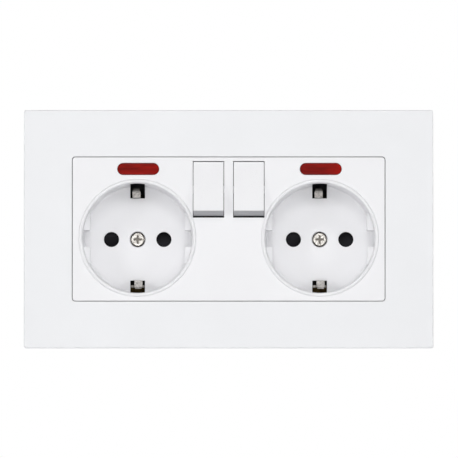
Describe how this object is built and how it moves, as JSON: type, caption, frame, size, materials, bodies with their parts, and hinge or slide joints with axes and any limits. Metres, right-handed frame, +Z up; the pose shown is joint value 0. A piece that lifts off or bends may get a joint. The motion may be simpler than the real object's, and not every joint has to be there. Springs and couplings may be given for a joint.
{
  "type": "switched double socket",
  "caption": "White wall-mounted double mains socket with round earthed wells, a rocker switch and a red pilot lens for each, in a plain rectangular frame.",
  "frame": {"origin": "midway between the two fixing slots, in the plane of the wall", "axes": "+X to the right seen from the front, +Y into the wall, +Z up"},
  "size_m": [0.148, 0.0426, 0.086],
  "materials": {
    "white_plastic": "smooth moulded white, low gloss",
    "rocker_white": "smooth moulded white",
    "carrier_grey": "moulded light grey",
    "housing_grey": "moulded grey, fine grain",
    "red_lens": "clear red moulded lens, unlit",
    "shutter_black": "moulded black",
    "nickel_screw": "nickel-plated steel",
    "tinned_clip": "tinned spring bronze",
    "zinc_screw": "zinc-plated steel",
    "spring_steel": "drawn spring wire",
    "brass": "stamped brass",
    "plunger_nylon": "natural nylon",
    "lamp_glass": "small glass neon tube",
    "resistor_body": "lacquered ceramic"
  },
  "bodies": {
    "base": {"outer_frame": "white_plastic", "insert_panel": "white_plastic", "carrier_plate": "carrier_grey", "rear_housing": "housing_grey", "housing_screws": "zinc_screw", "feed_strip": "brass", "neutral_strip": "brass", "earth_link": "brass", "earth_terminal": "brass", "earth_terminal_screw": "zinc_screw", "live_terminal": "brass", "live_terminal_screw": "zinc_screw", "neutral_terminal": "brass", "neutral_terminal_screw": "zinc_screw", "pivot_bracket_left": "brass", "pivot_bracket_right": "brass", "lens_left": "red_lens", "lens_right": "red_lens", "neon_lamp_left": "lamp_glass", "neon_lamp_right": "lamp_glass", "lamp_resistor_left": "resistor_body", "lamp_resistor_right": "resistor_body", "shutter_spring_left": "spring_steel", "shutter_spring_right": "spring_steel", "earth_clip_left": "tinned_clip", "earth_clip_right": "tinned_clip", "live_sleeve_left": "brass", "live_sleeve_right": "brass", "neutral_sleeve_left": "brass", "neutral_sleeve_right": "brass", "centre_screw_left": "nickel_screw", "centre_screw_right": "nickel_screw"},
    "rocker_left": {"rocker_left": "rocker_white", "plunger_spring_left": "spring_steel"},
    "plunger_left": {"plunger_left": "plunger_nylon"},
    "snap_contact_left": {"snap_contact_left": "brass"},
    "shutter_left": {"shutter_left": "shutter_black"},
    "rocker_right": {"rocker_right": "rocker_white", "plunger_spring_right": "spring_steel"},
    "plunger_right": {"plunger_right": "plunger_nylon"},
    "snap_contact_right": {"snap_contact_right": "brass"},
    "shutter_right": {"shutter_right": "shutter_black"}
  },
  "joints": [
    {"name": "rocker_left_tilt", "type": "hinge", "parent": "base", "child": "rocker_left", "pos_m": [-0.0073, -0.0059, 0.01435], "axis": [1, 0, 0], "range_deg": [0, 27]},
    {"name": "plunger_left_press", "type": "slide", "parent": "rocker_left", "child": "plunger_left", "axis": [0, -0.9724, 0.2334], "range_m": [0, 0.0008], "stiffness_N_per_m": 300, "springref_m": -0.002, "deforming": ["plunger_spring_left"]},
    {"name": "snap_contact_left_tip", "type": "hinge", "parent": "base", "child": "snap_contact_left", "pos_m": [-0.0073, 0.0068, 0.01435], "axis": [1, 0, 0], "range_deg": [-16, 0]},
    {"name": "shutter_left_turn", "type": "hinge", "parent": "base", "child": "shutter_left", "pos_m": [-0.033, 0.01165, -0.0032], "axis": [0, 1, 0], "range_deg": [0, 38], "stiffness_Nm_per_rad": 0.003, "springref_deg": -20.05, "deforming": ["shutter_spring_left"]},
    {"name": "rocker_right_tilt", "type": "hinge", "parent": "base", "child": "rocker_right", "pos_m": [0.0073, -0.0059, 0.01435], "axis": [1, 0, 0], "range_deg": [0, 27]},
    {"name": "plunger_right_press", "type": "slide", "parent": "rocker_right", "child": "plunger_right", "axis": [0, -0.9724, 0.2334], "range_m": [0, 0.0008], "stiffness_N_per_m": 300, "springref_m": -0.002, "deforming": ["plunger_spring_right"]},
    {"name": "snap_contact_right_tip", "type": "hinge", "parent": "base", "child": "snap_contact_right", "pos_m": [0.0073, 0.0068, 0.01435], "axis": [1, 0, 0], "range_deg": [-16, 0]},
    {"name": "shutter_right_turn", "type": "hinge", "parent": "base", "child": "shutter_right", "pos_m": [0.033, 0.01165, -0.0032], "axis": [0, 1, 0], "range_deg": [0, 38], "stiffness_Nm_per_rad": 0.003, "springref_deg": -20.05, "deforming": ["shutter_spring_right"]}
  ],
  "couplings": [
    {"joint": "snap_contact_left_tip", "follows": "rocker_left_tilt", "ratio": -0.592},
    {"joint": "snap_contact_right_tip", "follows": "rocker_right_tilt", "ratio": -0.592}
  ]
}
